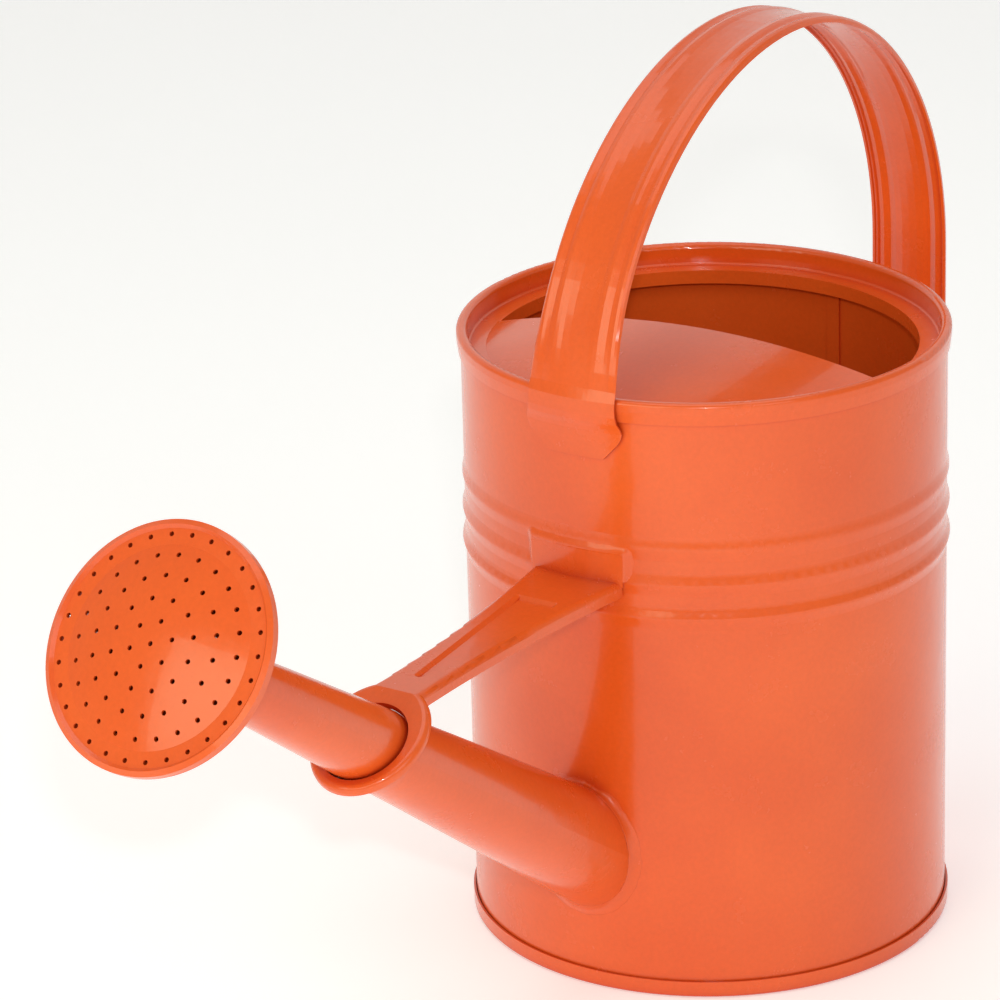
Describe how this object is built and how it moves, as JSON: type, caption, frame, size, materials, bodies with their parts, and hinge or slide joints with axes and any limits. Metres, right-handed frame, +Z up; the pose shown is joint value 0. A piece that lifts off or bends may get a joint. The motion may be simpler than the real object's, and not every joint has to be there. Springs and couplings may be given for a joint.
{
  "type": "watering can",
  "caption": "Round sheet-metal watering can with an arched strap handle, a domed half cover, a braced spout and a perforated rose.",
  "frame": {"origin": "on the can's axis, in the plane that its bottom seam stands on", "axes": "+Z up along the can's axis; the spout points along -X and the handle's back leg is on the +X side; +Y is the can's side"},
  "size_m": [0.4899, 0.1728, 0.3194],
  "materials": {
    "orange_paint": "gloss",
    "orange_rose_paint": "gloss"
  },
  "bodies": {
    "can": {"body_wall": "orange_paint", "base_plate": "orange_paint", "top_plate": "orange_paint", "handle_strap": "orange_paint", "spout_tube": "orange_paint", "spout_solder": "orange_paint", "spout_brace": "orange_paint"},
    "rose": {"rose_face": "orange_rose_paint", "rose_back": "orange_rose_paint", "rose_neck": "orange_rose_paint"}
  },
  "joints": [
    {"name": "rose_pull", "type": "slide", "parent": "can", "child": "rose", "axis": [-0.8216, 0, 0.57], "range_m": [0, 0.05]}
  ]
}
